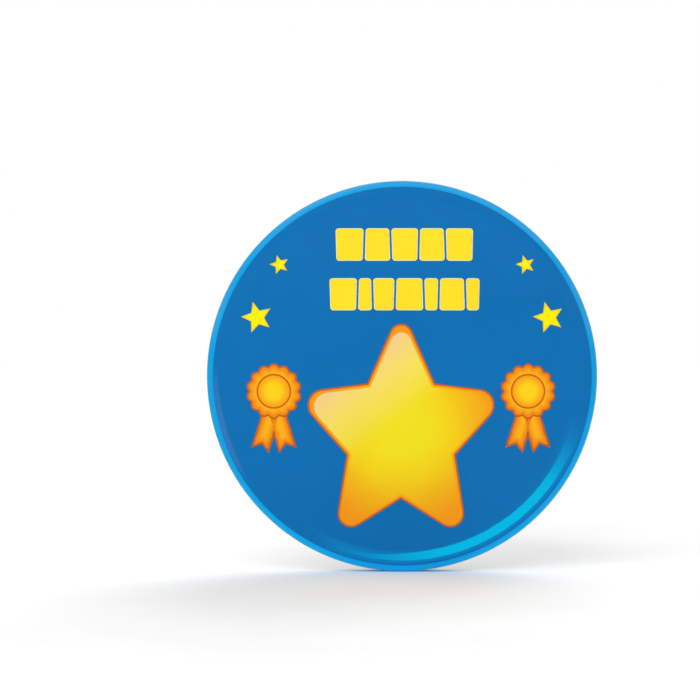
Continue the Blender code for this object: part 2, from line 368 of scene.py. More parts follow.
def fill(outline, grid, holes=()):
    """Triangles that fill an outline and leave its holes open, with points on a grid between."""
    points = [tuple(p) for p in outline]
    edges = [(i, (i + 1) % len(points)) for i in range(len(points))]
    for hole in holes:
        start = len(points)
        points += [tuple(p) for p in hole]
        edges += [(start + i, start + (i + 1) % len(hole)) for i in range(len(hole))]
    grid = np.asarray(grid, float)
    if len(grid):
        keep = inside(grid, outline)
        for hole in holes:
            keep &= ~inside(grid, hole)
        grid = grid[keep]
        near = edge_distance(grid, outline)
        for hole in holes:
            near = np.minimum(near, edge_distance(grid, hole))
        grid = grid[near > GRID_CLEARANCE]
        points += [tuple(p) for p in grid]
    verts, _, faces, _, _, _ = delaunay_2d_cdt([Vector(p) for p in points], edges, [], 0, 1e-7)
    verts = np.array([tuple(v) for v in verts])
    centres = np.array([verts[list(f)].mean(0) for f in faces])
    keep = inside(centres, outline)
    for hole in holes:
        keep &= ~inside(centres, hole)
    kept = []
    for f, k in zip(faces, keep):
        if not k:
            continue
        a, b, c = (verts[i] for i in f)
        turn = (b[0] - a[0]) * (c[1] - a[1]) - (b[1] - a[1]) * (c[0] - a[0])
        kept.append(tuple(f) if turn > 0 else tuple(f)[::-1])
    return verts, kept


def grid_over(outline, step):
    lo = np.min(outline, axis=0)
    hi = np.max(outline, axis=0)
    xs = np.arange(lo[0] + step / 2, hi[0], step)
    ys = np.arange(lo[1] + step / 2, hi[1], step)
    return np.stack(np.meshgrid(xs, ys), axis=-1).reshape(-1, 2)


def printed(name, shapes, layer):
    """Ink laid on the paper: one object of several (outline, material) shapes at the same layer height.
    Each point carries its distance from its shape's edge, in millimetres, for the ink's shading."""
    verts, faces, slots, edges, materials = [], [], [], [], []
    for outline, mat in shapes:
        outline = dense(outline)
        v, f = fill(outline, grid_over(outline, PRINT_GRID))
        base = len(verts)
        lift = -PAPER_DEPTH + layer * INK_LAYER
        verts += [(x, y, dome_z(hypot(x, y), 0.0) + lift) for x, y in v]
        faces += [tuple(base + i for i in face) for face in f]
        edges += list(edge_distance(v, outline))
        if mat not in materials:
            materials.append(mat)
        slots += [materials.index(mat)] * len(f)
    obj = make_object(name, verts, faces, materials)
    obj.data.polygons.foreach_set("material_index", slots)
    attribute = obj.data.attributes.new("edge_mm", "FLOAT", "POINT")
    attribute.data.foreach_set("value", np.array(edges, np.float32))
    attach(obj, "badge")


# ---------------------------------------------------------------- material helpers


def linear(hex_colour):
    """Scene colour of an sRGB hex code."""
    out = []
    for i in (0, 2, 4):
        c = int(hex_colour[i : i + 2], 16) / 255.0
        out.append(c / 12.92 if c <= 0.04045 else ((c + 0.055) / 1.055) ** 2.4)
    return (*out, 1.0)


class Nodes:
    """Short calls for building a node tree."""

    def __init__(self, tree):
        self.tree = tree
        tree.nodes.clear()

    def add(self, kind, **settings):
        node = self.tree.nodes.new(kind)
        for key, value in settings.items():
            setattr(node, key, value)
        return node

    def put(self, socket, value):
        if isinstance(value, bpy.types.NodeSocket):
            self.tree.links.new(value, socket)
        elif value is not None:
            socket.default_value = value

    def math(self, op, a, b=None, clamp=False):
        node = self.add("ShaderNodeMath", operation=op, use_clamp=clamp)
        self.put(node.inputs[0], a)
        self.put(node.inputs[1], b)
        return node.outputs[0]

    def dot(self, a, b):
        node = self.add("ShaderNodeVectorMath", operation="DOT_PRODUCT")
        self.put(node.inputs[0], a)
        self.put(node.inputs[1], b)
        return node.outputs["Value"]

    def step(self, value, a, b, low=0.0, high=1.0):
        """Smooth step from low at a to high at b."""
        node = self.add("ShaderNodeMapRange", interpolation_type="SMOOTHSTEP")
        self.put(node.inputs["Value"], value)
        for key, x in (("From Min", a), ("From Max", b), ("To Min", low), ("To Max", high)):
            node.inputs[key].default_value = x
        return node.outputs["Result"]

    def mix(self, factor, a, b, blend="MIX"):
        node = self.add("ShaderNodeMix", data_type="RGBA", blend_type=blend)
        self.put(node.inputs[0], factor)
        self.put(node.inputs[6], a)
        self.put(node.inputs[7], b)
        return node.outputs[2]

    def ramp(self, factor, stops):
        node = self.add("ShaderNodeValToRGB")
        self.put(node.inputs[0], factor)
        elements = node.color_ramp.elements
        while len(elements) < len(stops):
            elements.new(0.5)
        for element, (at, colour) in zip(elements, stops):
            element.position = at
            element.color = colour
        return node.outputs[0]

    def noise(self, vector, scale, detail=3.0, rough=0.5):
        node = self.add("ShaderNodeTexNoise")
        self.put(node.inputs["Vector"], vector)
        node.inputs["Scale"].default_value = scale
        node.inputs["Detail"].default_value = detail
        node.inputs["Roughness"].default_value = rough
        return node.outputs["Fac"]

    def place(self):
        """Position in millimetres in the frame's own axes, carried with the piece."""
        coords = self.add("ShaderNodeTexCoord")
        node = self.add("ShaderNodeVectorMath", operation="SCALE")
        self.put(node.inputs[0], coords.outputs["Object"])
        node.inputs["Scale"].default_value = 1000.0
        return node.outputs[0]

    def radius(self, place):
        """Distance from the badge's axis."""
        flat = self.add("ShaderNodeVectorMath", operation="MULTIPLY")
        self.put(flat.inputs[0], place)
        flat.inputs[1].default_value = (1.0, 0.0, 1.0)
        length = self.add("ShaderNodeVectorMath", operation="LENGTH")
        self.put(length.inputs[0], flat.outputs[0])
        return length.outputs["Value"]

    def stretched(self, vector, scale, turn=(0.0, 0.0, 0.0)):
        node = self.add("ShaderNodeMapping")
        self.put(node.inputs["Vector"], vector)
        node.inputs["Scale"].default_value = scale
        node.inputs["Rotation"].default_value = turn
        return node.outputs[0]

    def bump(self, height, strength, distance):
        node = self.add("ShaderNodeBump")
        self.put(node.inputs["Height"], height)
        node.inputs["Strength"].default_value = strength
        node.inputs["Distance"].default_value = distance
        return node.outputs[0]

    def mix_shader(self, factor, a, b):
        node = self.add("ShaderNodeMixShader")
        for socket, value in zip(node.inputs, (factor, a, b)):
            self.put(socket, value)
        return node.outputs[0]

    def background(self, colour, strength=1.0):
        node = self.add("ShaderNodeBackground")
        self.put(node.inputs["Color"], colour)
        node.inputs["Strength"].default_value = strength
        return node.outputs[0]

    def surface(self, shader):
        out = self.add("ShaderNodeOutputMaterial")
        self.tree.links.new(shader, out.inputs["Surface"])


def new_material(name):
    mat = bpy.data.materials.new(name)
    mat.use_nodes = True
    return mat, Nodes(mat.node_tree)


def principled(n, **inputs):
    node = n.add("ShaderNodeBsdfPrincipled")
    for key, value in inputs.items():
        n.put(node.inputs[key.replace("_", " ")], value)
    return node.outputs[0]


def ink_grain(n, colour, place, amount=0.05):
    """The fine unevenness of printed ink: paper tooth and a wide, faint drift."""
    tooth = n.noise(place, 9.0, 4.0, 0.6)
    drift = n.noise(place, 0.12, 2.0)
    both = n.math("ADD", n.math("MULTIPLY", tooth, 0.7), n.math("MULTIPLY", drift, 0.3))
    value = n.step(both, 0.3, 0.7, 1.0 - amount, 1.0 + amount)
    return n.mix(1.0, colour, value, "MULTIPLY")


def print_surface(n, colour, place):
    tooth = n.noise(place, 14.0, 4.0, 0.6)
    return principled(
        n,
        Base_Color=ink_grain(n, colour, place),
        Roughness=n.step(tooth, 0.3, 0.7, 0.42, 0.6),
        Specular_IOR_Level=0.05,
        Normal=n.bump(tooth, 0.05, 0.00002),
    )


def paper_material():
    """Blue print with a lighter band round the edge."""
    mat, n = new_material("printed_blue")
    place = n.place()
    band = n.step(n.radius(place), 0.9625 * R, 0.9665 * R)
    colour = n.mix(band, linear("0e71b4"), linear("00a2e2"))
    n.surface(print_surface(n, colour, place))
    return mat


def from_point(n, place, x, z):
    """Vector from a point of the face, with the depth left out."""
    away = n.add("ShaderNodeVectorMath", operation="SUBTRACT")
    n.put(away.inputs[0], place)
    away.inputs[1].default_value = (x, 0.0, z)
    flat = n.add("ShaderNodeVectorMath", operation="MULTIPLY")
    n.put(flat.inputs[0], away.outputs[0])
    flat.inputs[1].default_value = (1.0, 0.0, 1.0)
    return flat.outputs[0]


def star_material(name, sheen):
    """Yellow in the middle and orange at the points. With sheen, it pales towards the upper left."""
    mat, n = new_material(name)
    place = n.place()
    flat = from_point(n, place, STAR_CENTRE[0], STAR_CENTRE[1] + 0.9)
    length = n.add("ShaderNodeVectorMath", operation="LENGTH")
    n.put(length.inputs[0], flat)
    stops = [(0.23, "f3e220"), (0.47, "f5d21a"), (0.66, "f5b91a"), (0.76, "f5ad1a")]
    stops += [(0.86, "f6a01c"), (1.0, "f8991a")]
    colour = n.ramp(n.math("DIVIDE", length.outputs["Value"], 16.0), [(at, linear(c)) for at, c in stops])
    if sheen:
        corner = from_point(n, place, STAR_CENTRE[0] - 0.6, STAR_CENTRE[1] - 0.9)
        slant = n.dot(corner, (-0.62, 0.0, 0.78))
        stops = [(0.20, "f3e133"), (0.45, "f3de54"), (0.56, "f5de62"), (0.74, "f6d67c"), (0.86, "f6cf8e")]
        pale = n.ramp(n.math("DIVIDE", slant, 14.0), [(at, linear(c)) for at, c in stops])
        colour = n.mix(n.step(slant, 0.5, 5.5), colour, pale)
    else:
        edge = n.add("ShaderNodeAttribute", attribute_name="edge_mm")
        rim = n.step(edge.outputs["Fac"], 0.0, 0.8, 0.75, 0.0)
        colour = n.mix(rim, colour, linear("f79a1c"))
    n.surface(print_surface(n, colour, place))
    return mat


def ink_material(name, middle, rim_colour, rim_width):
    """Plain ink that darkens towards the edge of its shape."""
    mat, n = new_material(name)
    place = n.place()
    edge = n.add("ShaderNodeAttribute", attribute_name="edge_mm")
    rim = n.step(edge.outputs["Fac"], 0.0, rim_width, 1.0, 0.0)
    colour = n.mix(rim, linear(middle), linear(rim_colour))
    n.surface(print_surface(n, colour, place))
    return mat


def crescent_highlight_mask(n, place):
    """Mask of a painted highlight: one along a crescent on the shoulder, at the lower right. The film mirrors
    more inside it, so the blue card's real reflection shows in this painted crescent shape. It fades at both
    ends and thins leftwards.
    """
    radius = n.radius(place)
    x = n.dot(place, (1.0, 0.0, 0.0))
    z = n.dot(place, (0.0, 0.0, 1.0))
    thinned = n.math("SUBTRACT", radius, n.step(x, 0.22 * R, -0.28 * R, 0.0, 0.030 * R))
    inner = n.step(thinned, 0.884 * R, 0.893 * R)
    outer = n.step(radius, 0.932 * R, 0.942 * R, 1.0, 0.0)
    angle = n.math("ARCTAN2", z, x)
    left = n.step(angle, radians(-120.0), radians(-70.0))
    right = n.step(angle, radians(-17.0), radians(-42.0))
    return n.math("MULTIPLY", n.math("MULTIPLY", inner, outer), n.math("MULTIPLY", left, right))


def film_material():
    """Clear gloss film: it mirrors a little, more at a slant, and lets the rest through."""
    mat, n = new_material("gloss_film")
    place = n.place()
    ripple = n.noise(place, 0.35, 2.0)
    scuff = n.noise(n.stretched(place, (1.0, 1.0, 6.0), (0.0, 0.6, 0.0)), 3.0, 4.0, 0.6)
    normal = n.bump(ripple, 0.10, 0.0001)
    gloss = n.add("ShaderNodeBsdfGlossy")
    gloss.inputs["Color"].default_value = (1.0, 1.0, 1.0, 1.0)
    n.put(gloss.inputs["Roughness"], n.step(scuff, 0.35, 0.75, 0.035, 0.075))
    n.put(gloss.inputs["Normal"], normal)
    clear = n.add("ShaderNodeBsdfTransparent")
    facing = n.add("ShaderNodeNewGeometry")
    lean = n.math("ABSOLUTE", n.dot(normal, facing.outputs["Incoming"]))
    slant = n.math("POWER", n.math("SUBTRACT", 1.0, lean, clamp=True), 5.0)
    mirrored = n.math("ADD", n.math("MULTIPLY", slant, FILM_GRAZING - FILM_MIRROR), FILM_MIRROR)
    # Painted highlight: the crescent mask raises the film's mirroring there.
    mirrored = n.math("ADD", mirrored, n.math("MULTIPLY", crescent_highlight_mask(n, place), CRESCENT_HIGHLIGHT_MIRROR))
    turned = n.step(n.dot(place, (0.0, 1.0, 0.0)), 0.5, 1.2, 1.0, 0.25)
    mirrored = n.math("MULTIPLY", mirrored, turned)
    n.surface(n.mix_shader(mirrored, clear.outputs[0], gloss.outputs[0]))
    return mat


def tin_material(name, colour, rough, lines=0.4, satin_inside=None):
    """Bright tinplate: a faint grain along the rolling direction, cloudy patches and hairline scratches.
    Inside the given radius it keeps its satin finish. Outside, and along pressed walls, it is burnished. The
    pressed walls also get painted shade: their colour is darkened, as if in shadow."""
    mat, n = new_material(name)
    place = n.place()
    rolled = n.noise(n.stretched(place, (0.5, 1.0, 14.0)), 1.6, 5.0, 0.6)
    cloud = n.noise(place, 0.22, 3.0)
    fine = n.noise(place, 22.0, 3.0, 0.6)
    shade = n.math("ADD", n.math("MULTIPLY", rolled, 0.5), n.math("MULTIPLY", cloud, 0.5))
    tone = n.step(shade, 0.3, 0.7, 0.91, 1.05)
    base = n.mix(1.0, linear(colour), tone, "MULTIPLY")
    mixed = n.math("ADD", n.math("MULTIPLY", cloud, 0.6), n.math("MULTIPLY", fine, 0.4))
    scratch = n.noise(n.stretched(place, (0.6, 1.0, 30.0), (0.0, 0.9, 0.0)), 1.2, 6.0, 0.75)
    height = n.math("ADD", n.math("MULTIPLY", rolled, lines), n.math("MULTIPLY", fine, 0.12))
    height = n.math("ADD", height, n.step(scratch, 0.66, 0.74, 0.0, 0.5))
    metallic = 1.0
    roughness = n.step(mixed, 0.3, 0.7, rough * 0.8, rough * 1.3)
    if satin_inside is not None:
        wall = n.add("ShaderNodeAttribute", attribute_name="pressed_wall")
        outside = n.step(n.radius(place), satin_inside - 0.2, satin_inside + 0.3)
        burnished = n.math("MAXIMUM", outside, wall.outputs["Fac"])
        # Painted shade: the pressed walls are darkened towards a dark grey, where the panels' edges fall in
        # shadow.
        base = n.mix(n.math("MULTIPLY", wall.outputs["Fac"], 0.75), base, linear("4a4844"))
        metallic = n.math("ADD", n.math("MULTIPLY", burnished, 0.68), 0.32)
        roughness = n.math("MULTIPLY", roughness, n.math("SUBTRACT", 1.9, n.math("MULTIPLY", burnished, 0.9)))
    shader = principled(
        n,
        Base_Color=base,
        Metallic=metallic,
        Roughness=roughness,
        Specular_IOR_Level=0.3,
        Normal=n.bump(height, 0.12, 0.00002),
    )
    n.surface(shader)
    return mat


def wire_material():
    """Drawn spring wire with fine lines along its length."""
    mat, n = new_material("spring_wire")
    place = n.place()
    drawn = n.noise(n.stretched(place, (1.0, 8.0, 1.0)), 2.5, 4.0, 0.6)
    patch = n.noise(place, 0.9, 3.0)
    base = n.mix(n.step(patch, 0.35, 0.7), linear("b4b2ab"), linear("8b8880"))
    shader = principled(
        n,
        Base_Color=base,
        Metallic=1.0,
        Roughness=n.step(drawn, 0.3, 0.7, 0.16, 0.30),
        Normal=n.bump(drawn, 0.15, 0.00002),
    )
    n.surface(shader)
    return mat


# ---------------------------------------------------------------- the printed face

STAR_CENTRE = (-0.25, -8.6)
STAR_TALL = 1.1145


def build_face():
    paper = revolve("artwork_paper", face_line(PAPER_DEPTH, PAPER_LIP_R), [paper_material()])
    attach(paper, "badge")
    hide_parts("artwork_disc")
    film = revolve("film_cover", face_line(0.0, FILM_LIP_R), [film_material()])
    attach(film, "badge")
    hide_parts("clear_film")


def star_shape(distance, tip_radii):
    """The big star with its sides moved in, its points rounded and its inner corners sharp."""
    body = star(STAR_CENTRE, 16.9, 8.4, tall=STAR_TALL)
    for corner, rise in ((2, 0.35), (8, 0.35), (4, -0.4), (6, -0.4)):
        body[corner] = (body[corner][0], body[corner][1] + rise)
    corners = [tip_radii[k // 2] if k % 2 == 0 else 0.0 for k in range(10)]
    return rounded(inset(body, distance) if distance else body, corners)


def build_star():
    """A plain star: its outline, its shaded body, and a paler sheen set in from the edge."""
    outline = ink_material("printed_outline", "d9691a", "c9560f", 0.2)
    tips = (1.7, 2.35, 2.0, 2.0, 2.35)
    printed("print_star_outline", [(star_shape(0.0, tips), outline)], 1)
    body_tips = [r - 0.26 for r in tips]
    printed("print_star", [(star_shape(0.26, body_tips), star_material("printed_star", False))], 2)
    sheen_tips = (1.5, 2.05, 1.9, 1.9, 2.05)
    printed("print_star_sheen", [(star_shape(0.62, sheen_tips), star_material("printed_sheen", True))], 3)


def build_small_stars():
    yellow = ink_material("printed_yellow", "fdee06", "f2d200", 0.25)
    spots = [(-18.1, 16.42, 1.45), (-21.4, 8.66, 2.36), (18.1, 16.42, 1.45), (21.5, 8.66, 2.36)]
    shapes = [(star((x, y), r, r * 0.45, turn=0.27), yellow) for x, y, r in spots]
    printed("print_small_stars", shapes, 1)


def block_row(centre_x, centre_y, height, widths, gap=0.3, slant=0.07):
    """A row of plain blocks, cut a little out of square by turns."""
    x = centre_x - (sum(widths) + gap * (len(widths) - 1)) / 2
    low = centre_y - height / 2
    high = centre_y + height / 2
    out = []
    lean = -slant
    for width in widths:
        right = x + width
        out.append([(x - lean, low), (right + lean, low), (right - lean, high), (x + lean, high)])
        x = right + gap
        lean = -lean
    return out


def build_blocks():
    """Two rows of plain blocks where a badge carries its words."""
    pale = ink_material("printed_pale_edge", "f5ee9a", "f5ee9a", 0.1)
    yellow = ink_material("printed_block", "ffe02a", "fbd82a", 0.3)
    boxes = block_row(0.26, 19.35, 4.8, [4.0, 3.6, 3.8, 3.6, 3.9])
    boxes += block_row(0.28, 12.03, 4.72, [3.9, 1.9, 3.0, 3.9, 1.9, 3.6, 1.9])
    printed("print_blocks_edge", [(rounded(b, 0.45, 6), pale) for b in boxes], 1)
    printed("print_blocks", [(rounded(inset(b, 0.13), 0.34, 6), yellow) for b in boxes], 2)


def scallop(centre, radius, lobes, depth, count=160):
    """A disc with a scalloped edge, or a plain one when the depth is 0."""
    out = []
    for k in range(count):
        a = 2 * pi * k / count
        r = radius + depth * abs(sin(lobes * a / 2)) - depth
        out.append((centre[0] + r * cos(a), centre[1] + r * sin(a)))
    return out


def tail(centre, lean, length, width):
    """A ribbon tail with a notched end, hanging from a rosette."""
    half = width / 2
    pts = [(-half, 0.0), (-half, -length), (0.0, -length + 1.0), (half, -length), (half, 0.0)]
    c, s = cos(lean), sin(lean)
    return [(centre[0] + x * c - y * s, centre[1] + x * s + y * c) for x, y in pts]


ROSETTES = ((-18.9, -2.2), (18.4, -2.2))


def build_rosettes():
    """A plain ribbon rosette on each side of the star."""
    line = ink_material("printed_rosette_line", "dd6d16", "c9560f", 0.3)
    orange = ink_material("printed_rosette_rim", "fbb21b", "f08a16", 0.9)
    yellow = ink_material("printed_rosette_middle", "fdd21c", "f9a51b", 1.4)
    tails_line, tails, discs_line, discs, rings, cores = [], [], [], [], [], []
    for centre in ROSETTES:
        for lean in (0.30, -0.30):
            ribbon = tail((centre[0], centre[1] - 2.0), lean, 7.0, 2.7)
            tails_line.append((ribbon, line))
            tails.append((inset(ribbon, 0.28), orange))
        discs_line.append((scallop(centre, 4.1, 14, 0.42), line))
        discs.append((scallop(centre, 3.82, 14, 0.42), orange))
        rings.append((scallop(centre, 2.55, 1, 0.0, 64), line))
        cores.append((scallop(centre, 2.32, 1, 0.0, 64), yellow))
    printed("print_rosette_tails_line", tails_line, 1)
    printed("print_rosette_tails", tails, 2)
    printed("print_rosette_line", discs_line, 3)
    printed("print_rosette_rim", discs, 4)
    printed("print_rosette_ring", rings, 5)
    printed("print_rosette_core", cores, 6)


# ---------------------------------------------------------------- back plate


def pan_distance(u, v):
    """Distance from the edge of the nearer sunk panel, negative inside it."""
    out = np.full(len(u), 99.0)
    for u0, u1, v0, v1 in (LOOP_PAN, CATCH_PAN):
        cu, cv = (u0 + u1) / 2, (v0 + v1) / 2
        qu = np.abs(u - cu) - ((u1 - u0) / 2 - PAN_CORNER)
        qv = np.abs(v - cv) - ((v1 - v0) / 2 - PAN_CORNER)
        outside = np.hypot(np.maximum(qu, 0.0), np.maximum(qv, 0.0))
        far = outside + np.minimum(np.maximum(qu, qv), 0.0) - PAN_CORNER
        out = np.minimum(out, far)
    return out


def rib_height(u, v):
    """The raised tongue between its two slots."""
    along = smoothstep(-16.75, -16.0, u) * smoothstep(-14.2, -14.9, u)
    across = smoothstep(0.34, 0.16, np.abs(v - RIB_V))
    return 0.45 * along * across


def rounded_box(u0, u1, v0, v1, corner):
    return rounded([(u0, v0), (u1, v0), (u1, v1), (u0, v1)], corner, 5)


def floor_lines():
    """Spacing of the floor's points: fine near the pressed details, wide elsewhere."""
    u = np.r_[np.arange(-21.9, -10.2, 0.11), np.arange(-10.0, 14.6, 0.8), np.arange(14.8, 21.9, 0.11)]
    v = np.r_[np.arange(-21.9, -8.6, 0.8), np.arange(-8.5, -2.9, 0.11), np.arange(-2.7, 21.9, 0.8)]
    grid = np.stack(np.meshgrid(u, v), axis=-1).reshape(-1, 2)
    near = np.meshgrid(np.arange(0.4, 2.0, 0.1), np.arange(-19.0, -17.4, 0.1))
    return np.concatenate([grid, np.stack(near, axis=-1).reshape(-1, 2)])


def ring_line():
    """Rear face of the ring, from the edge of the floor out to the rim's forward edge."""
    rise = 1.0 - cos(RING_SLOPE)
    crown = (FLOOR_Z - REAR_Z) / rise - FLOOR_FILLET
    fillet = (LAND_R0 - (crown + FLOOR_FILLET) * sin(RING_SLOPE), FLOOR_Z - FLOOR_FILLET)
    line = arc(fillet, FLOOR_FILLET, pi / 2, pi / 2 - RING_SLOPE, 10)
    line += arc((LAND_R0, crown + REAR_Z), crown, 1.5 * pi - RING_SLOPE, 1.5 * pi, 36)[1:]
    line += arc((LAND_R1, RIM_Z), (RING_R - LAND_R1, RIM_Z - REAR_Z), 1.5 * pi, 2.0 * pi, 16)
    line.append((RING_R, -1.6))
    line.append((RING_R, RIM_EDGE_Z))
    return line


def build_plate():
    """One pressed sheet: the floor with its windows and forms, and the rolled ring round it."""
    ring = ring_line()
    edge_r = ring[0][0]
    circle = [(edge_r * cos(2 * pi * k / AROUND), edge_r * sin(2 * pi * k / AROUND)) for k in range(AROUND)]
    turn = -PIN_ANGLE
    outline = [(x * cos(turn) - y * sin(turn), x * sin(turn) + y * cos(turn)) for x, y in circle]
    holes = [rounded_box(STRAP_U - 0.95, STRAP_U + 0.95, STRAP_V[0] + 0.3, STRAP_V[1] - 0.3, 0.12)]
    holes += [rounded_box(-16.4, -14.5, v - 0.14, v + 0.14, 0.1) for v in (RIB_V - 0.45, RIB_V + 0.45)]
    holes.append(rounded_box(CATCH_U - 1.1, CATCH_U + 1.1, -6.2, -4.5, 0.2))
    flat, faces = fill(outline, floor_lines(), holes)
    u, v = flat[:, 0], flat[:, 1]
    far = pan_distance(u, v)
    dimple = 0.05 * smoothstep(0.5, 0.1, np.hypot(u - DIMPLE[0], v - DIMPLE[1]))
    height = rib_height(u, v) - PAN_DEPTH * smoothstep(0.10, -0.12, far) - dimple
    # Mask of the pressed walls, used for painted shade and a burnished finish.
    walls = smoothstep(0.26, 0.12, np.abs(far + 0.01))
    place = pin_frame()
    verts = [tuple(place @ Vector((a, b, -h))) for a, b, h in zip(u, v, height)]
    faces = [f[::-1] for f in faces]
    base = len(verts)
    for r, z in ring:
        verts += [(r * cos(2 * pi * k / AROUND), r * sin(2 * pi * k / AROUND), z) for k in range(AROUND)]
    for i in range(len(ring) - 1):
        for k in range(AROUND):
            n = (k + 1) % AROUND
            a, b = base + i * AROUND, base + (i + 1) * AROUND
            faces.append((a + k, a + n, b + n, b + k))
    tin = tin_material("bright_tinplate", "dedddb", 0.20, satin_inside=edge_r)
    plate = make_object("plate_stamping", verts, faces, [tin])
    wall = plate.data.attributes.new("pressed_wall", "FLOAT", "POINT")
    wall.data.foreach_set("value", np.r_[walls, np.zeros(len(verts) - len(walls))].astype(np.float32))
    bm = bmesh.new()
    bm.from_mesh(plate.data)
    bmesh.ops.remove_doubles(bm, verts=bm.verts, dist=0.000002)
    bmesh.ops.recalc_face_normals(bm, faces=bm.faces)
    rear = sum(f.normal.y * f.calc_area() for f in bm.faces)
    if rear < 0.0:
        bmesh.ops.reverse_faces(bm, faces=bm.faces)
    bm.to_mesh(plate.data)
    bm.free()
    # The sheet thins out to almost nothing at the rim's forward edge.
    full = plate.vertex_groups.new(name="full_thickness")
    for vert in plate.data.vertices:
        on_rim = hypot(vert.co.x, vert.co.z) > (RING_R - 0.06) * MM
        forward_edge = on_rim and vert.co.y < (0.05 - RIM_EDGE_Z) * MM
        full.add([vert.index], 0.15 if forward_edge else 1.0, "REPLACE")
    sheet = plate.modifiers.new("sheet", "SOLIDIFY")
    sheet.thickness = SHEET_T * MM
    sheet.offset = -1.0
    sheet.vertex_group = full.name
    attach(plate, "badge")
    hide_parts("back_plate")


def bent_strip(name, path, width, across, at, mat):
    """A strip lifted from the plate. The path is (v, h) when it lies across the pin, or (u, h) along it."""
    line = resample(catmull(path, 12), 0.06)
    if across:
        pts = [(at, a, -h) for a, h in line]
        side = (1.0, 0.0, 0.0)
    else:
        pts = [(a, at, -h) for a, h in line]
        side = (0.0, 1.0, 0.0)
    section = strip_section(width, 0.28, 0.08)
    obj = sweep(name, pts, section, [mat], side=side, placed=pin_frame())
    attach(obj, "badge")
    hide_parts("back_plate")


def build_forms():
    mat = tin_material("formed_tinplate", "e4e3e0", 0.16, 0.2)
    v0, v1 = STRAP_V
    strap = [(v0 - 0.35, -0.16), (v0 - 0.02, 0.15), (v0 + 0.2, 0.95), (v0 + 0.42, 1.7), (v0 + 0.85, 2.07)]
    strap += [(0.5 * (v0 + v1), 2.12)]
    strap += [(v1 - 0.85, 2.07), (v1 - 0.42, 1.7), (v1 - 0.2, 0.95), (v1 + 0.02, 0.15), (v1 + 0.35, -0.16)]
    bent_strip("bridge_strap", strap, 1.5, True, STRAP_U, mat)
    tab = [(-20.45, -0.45), (-20.1, -0.1), (-19.75, 0.8), (-19.35, 1.65), (-18.85, 2.0)]
    tab += [(-18.3, 2.02), (-17.95, 1.9)]
    bent_strip("loop_tab", tab, 1.0, False, -4.6, mat)
    hook = [(-7.05, -0.45), (-6.75, -0.2), (-6.55, 0.6), (-6.42, 1.5), (-6.1, 2.05)]
    hook += [(-5.7, 2.17), (-5.3, 2.15)]
    bent_strip("catch_hook", hook, 2.2, True, CATCH_U, mat)


# ---------------------------------------------------------------- pin


def pin_path():
    """The whole wire: from its tail, round the loop, under the strap and along to the point."""
    path = [(LOOP_CENTRE[0] + LOOP_R, -6.4, TAIL_H), (LOOP_CENTRE[0] + LOOP_R, -5.0, TAIL_H)]
    sweep_angles = np.linspace(0.0, radians(205.0), 14)
    for i, a in enumerate(sweep_angles):
        height = TAIL_H + (WIRE_H - TAIL_H) * i / (len(sweep_angles) - 1)
        path.append((LOOP_CENTRE[0] + LOOP_R * cos(a), LOOP_CENTRE[1] + LOOP_R * sin(a), height))
    path += [(-17.62, -5.02, 1.35), (-16.7, -5.19, WIRE_H), (-15.5, PIN_V, WIRE_H), (-13.0, PIN_V, WIRE_H)]
    path += [(-11.0, PIN_V, WIRE_H), (-8.0, PIN_V, WIRE_H), (0.0, PIN_V, WIRE_H), (10.0, PIN_V, WIRE_H)]
    path += [(16.0, PIN_V, WIRE_H), (TIP_U, PIN_V, WIRE_H)]
    return path


def build_pin():
    """One round wire, ground to a point, with its loop at the hinge."""
    line = resample(catmull(pin_path(), 16), 0.14)
    to_end = np.abs(line[:, 0] - TIP_U)
    scale = np.where(to_end < 3.8, 0.06 + 0.94 * smoothstep(-1.6, 3.8, to_end), 1.0)
    scale = np.where(to_end < 3.8, np.minimum(scale, 0.05 + to_end / 3.2), scale)
    scale = np.clip(scale, 0.05, 1.0)
    scale[0] = 0.72
    scale[1] = 0.97
    pts = [(u, v, -h) for u, v, h in line]
    section = circle_section(WIRE_R, 18)
    wire = sweep("pin_wire", pts, section, [wire_material()], scale=scale, placed=pin_frame())
    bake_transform(wire)
    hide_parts("pin_loop", "pin_arm")


# ---------------------------------------------------------------- stage, light and camera


SOFT_LIGHT = 0.66  # strength of the white all round, as light on the badge and the floor


def build_floor():
    """A pale table that the badge stands on. It isn't mirrored and casts no shadow of its own."""
    size = 3.0
    count = 24
    xs = np.linspace(-size, size, count)
    verts = [(x, y, CAD_BOX[0].z) for y in xs for x in xs]
    faces = [(j * count + i, j * count + i + 1, (j + 1) * count + i + 1, (j + 1) * count + i)
             for j in range(count - 1) for i in range(count - 1)]
    mesh = bpy.data.meshes.new("floor")
    mesh.from_pydata(verts, [], faces)
    floor = bpy.data.objects.new("floor", mesh)
    bpy.context.scene.collection.objects.link(floor)
    mat, n = new_material("pale_floor")
    place = n.place()
    grain = n.noise(place, 0.05, 3.0)
    colour = n.mix(n.step(grain, 0.3, 0.7), (0.90, 0.90, 0.90, 1.0), (0.93, 0.93, 0.925, 1.0))
    n.surface(principled(n, Base_Color=colour, Roughness=0.9, Specular_IOR_Level=0.0))
    mesh.materials.append(mat)
    floor.visible_glossy = False
    floor.visible_shadow = False


